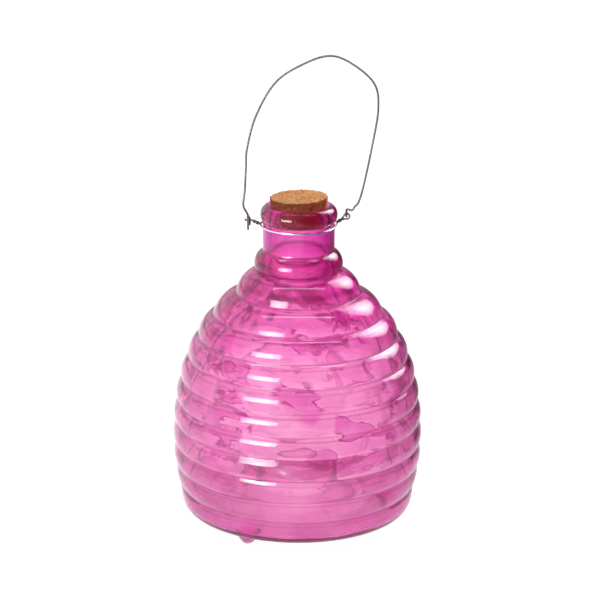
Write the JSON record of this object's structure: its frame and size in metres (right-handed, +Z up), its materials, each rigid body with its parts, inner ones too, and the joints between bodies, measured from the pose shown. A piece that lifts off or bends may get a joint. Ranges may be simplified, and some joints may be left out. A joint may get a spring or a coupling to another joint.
{
  "type": "glass fly trap",
  "caption": "Ringed beehive glass fly trap on small feet: flies enter through a collar in the pushed-in base; a cork closes the neck and a wire bail on a neck tie hangs it.",
  "frame": {"origin": "on the bottle's axis, in the plane that the three feet stand on", "axes": "+Z up along the bottle's axis; -Y to the front, where the picture was taken from; +X to the right, the side that the bail leans to"},
  "size_m": [0.1404, 0.1404, 0.2657],
  "materials": {
    "glass": "clear pink glass, mould-blown",
    "cork": "natural agglomerated cork",
    "tie_wire": "dull galvanised wire",
    "bail_wire": "dull annealed wire"
  },
  "bodies": {
    "glass": {"glass_body": "glass", "foot_front": "glass", "foot_right": "glass", "foot_rear": "glass"},
    "stopper": {"cork_stopper": "cork"},
    "tie": {"neck_tie_wire": "tie_wire"},
    "bail": {"bail_wire": "bail_wire"}
  },
  "joints": [
    {"name": "stopper_lift", "type": "slide", "parent": "glass", "child": "stopper", "axis": [0, 0, 1], "range_m": [0, 0.04]},
    {"name": "tie_turn", "type": "hinge", "parent": "glass", "child": "tie", "pos_m": [0, 0, 0.1704], "axis": [0, 0, 1], "continuous": true},
    {"name": "bail_swing", "type": "hinge", "parent": "tie", "child": "bail", "pos_m": [-0.00063, 0, 0.17489], "axis": [0.9965, 0, 0.0832], "range_deg": [-132, 132]}
  ]
}
